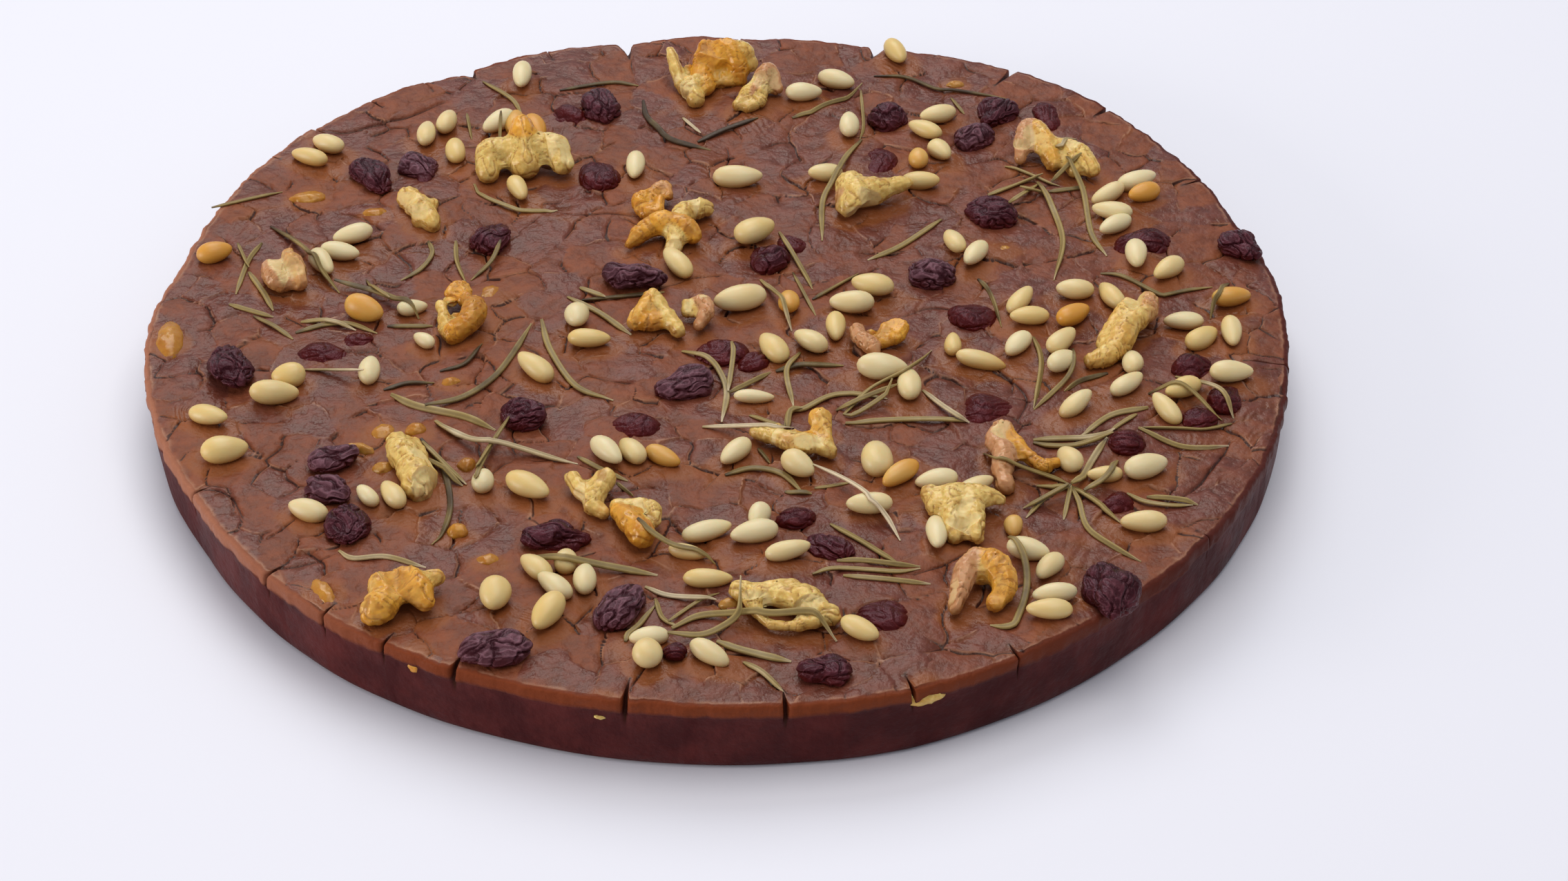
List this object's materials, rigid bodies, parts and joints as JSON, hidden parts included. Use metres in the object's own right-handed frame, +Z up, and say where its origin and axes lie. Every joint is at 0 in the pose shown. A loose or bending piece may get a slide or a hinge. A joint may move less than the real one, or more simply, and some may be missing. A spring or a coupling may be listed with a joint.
{
  "type": "chestnut cake",
  "caption": "Low round uncut chestnut cake with a cracked brown crust, topped with raisins, broken walnuts, pine nuts and rosemary needles.",
  "frame": {"origin": "centre of the flat underside, on the cake's axis", "axes": "+Z up out of the topped crust, +X to the right and -Y towards the viewer as the cake was pictured"},
  "size_m": [0.2595, 0.2596, 0.0292],
  "materials": {
    "cake_crust": "baked chestnut-flour crust, reddish brown with a dull sheen, crazed with fine cracks; darker and smoother on the side",
    "raisin": "wrinkled raisin skin, near black with a soft shine, reddish where sunk in the dough",
    "walnut": "toasted walnut kernel, pale cream to amber, dry satin",
    "pine_nut": "oily pine nut, pale cream, some toasted orange",
    "rosemary": "dried rosemary needle, olive to brown, satin"
  },
  "bodies": {
    "root": {"cake": "cake_crust", "raisin_01": "raisin", "raisin_02": "raisin", "raisin_03": "raisin", "raisin_04": "raisin", "raisin_05": "raisin", "raisin_06": "raisin", "raisin_07": "raisin", "raisin_08": "raisin", "raisin_09": "raisin", "raisin_10": "raisin", "raisin_11": "raisin", "raisin_12": "raisin", "raisin_13": "raisin", "raisin_14": "raisin", "raisin_15": "raisin", "raisin_16": "raisin", "raisin_17": "raisin", "raisin_18": "raisin", "raisin_19": "raisin", "raisin_20": "raisin", "raisin_21": "raisin", "raisin_22": "raisin", "raisin_23": "raisin", "raisin_24": "raisin", "raisin_25": "raisin", "raisin_26": "raisin", "raisin_27": "raisin", "raisin_28": "raisin", "raisin_29": "raisin", "raisin_30": "raisin", "raisin_31": "raisin", "raisin_32": "raisin", "raisin_33": "raisin", "walnut_01": "walnut", "walnut_02": "walnut", "walnut_03": "walnut", "walnut_04": "walnut", "walnut_05": "walnut", "walnut_06": "walnut", "walnut_07": "walnut", "walnut_08": "walnut", "walnut_09": "walnut", "walnut_10": "walnut", "walnut_11": "walnut", "walnut_12": "walnut", "walnut_13": "walnut", "walnut_14": "walnut", "walnut_15": "walnut", "walnut_16": "walnut", "walnut_17": "walnut", "walnut_18": "walnut", "walnut_19": "walnut", "walnut_20": "walnut", "walnut_21": "walnut", "walnut_22": "walnut", "walnut_23": "walnut"}
  },
  "joints": []
}
